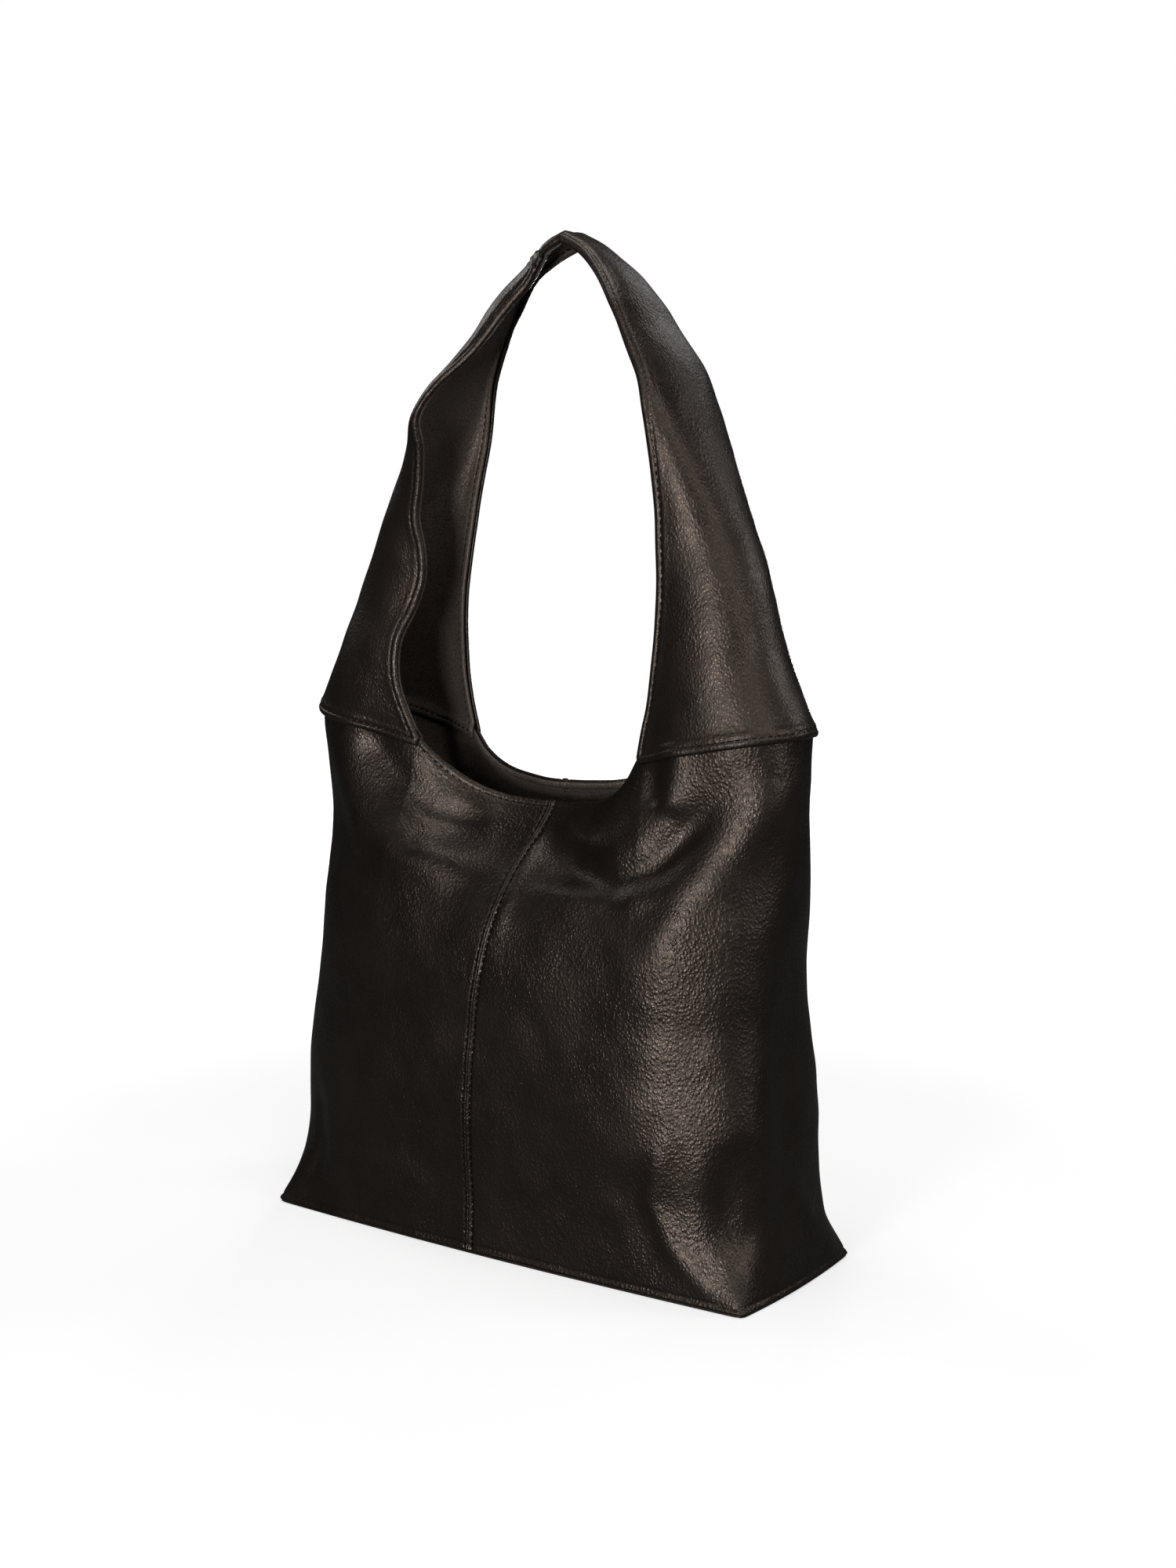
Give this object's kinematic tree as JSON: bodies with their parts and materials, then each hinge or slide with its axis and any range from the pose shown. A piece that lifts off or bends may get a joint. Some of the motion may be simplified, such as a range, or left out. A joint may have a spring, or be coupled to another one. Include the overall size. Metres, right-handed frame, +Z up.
{
  "type": "hobo bag",
  "caption": "Slouchy leather shoulder bag with a flat base, an open dipped rim and a strap that grows out of the folded sides and flattens at the top.",
  "frame": {"origin": "middle of the base, on the floor it stands on", "axes": "+Z up along the height, +X to the bag's left-right length, front of the bag faces -Y"},
  "size_m": [0.368, 0.141, 0.6328],
  "materials": {
    "outer_leather": "soft satin, pebbled grain",
    "base_leather": "satin",
    "facing_leather": "matte",
    "strap_lining_leather": "matte",
    "lining_cloth": "twill",
    "pocket_cloth": "plain weave",
    "base_board": "matte",
    "stay_tape": "woven tape",
    "zip_tape": "woven tape",
    "zip_coil": "satin",
    "zip_metal": "satin",
    "snap_metal": "polished"
  },
  "bodies": {
    "bag": {"left_body_panel": "outer_leather", "right_body_panel": "outer_leather", "base_panel": "base_leather", "base_board": "base_board", "left_facing": "facing_leather", "right_facing": "facing_leather", "left_strap_outer_lower": "outer_leather", "right_strap_outer_lower": "outer_leather", "left_strap_lining_lower": "strap_lining_leather", "right_strap_lining_lower": "strap_lining_leather", "lining_front": "lining_cloth", "lining_back": "lining_cloth", "lining_base": "lining_cloth", "slip_pocket": "lining_cloth", "zip_pocket_bag": "pocket_cloth", "zip_frame": "facing_leather", "zip_tape_upper": "zip_tape", "zip_tape_lower": "zip_tape", "zip_coil_upper": "zip_coil", "zip_coil_lower": "zip_coil", "zip_stop_left": "zip_metal", "zip_stop_right": "zip_metal", "snap_stud": "snap_metal", "snap_socket": "snap_metal"},
    "strap": {"left_strap_outer_upper": "outer_leather", "right_strap_outer_upper": "outer_leather", "left_strap_lining_upper": "strap_lining_leather", "right_strap_lining_upper": "strap_lining_leather", "strap_stay_tape": "stay_tape"},
    "slider": {"zip_slider": "zip_metal"},
    "puller": {"zip_puller": "zip_metal"}
  },
  "joints": [
    {"name": "strap_fold", "type": "hinge", "parent": "bag", "child": "strap", "pos_m": [0, 0.00084, 0.455], "axis": [1, 0, 0], "range_deg": [-90, 90]},
    {"name": "zip_run", "type": "slide", "parent": "bag", "child": "slider", "axis": [1, 0, 0], "range_m": [0, 0.14]},
    {"name": "puller_swing", "type": "hinge", "parent": "slider", "child": "puller", "pos_m": [-0.07, 0.05, 0.2], "axis": [-1, 0, 0], "range_deg": [0, 165]}
  ]
}
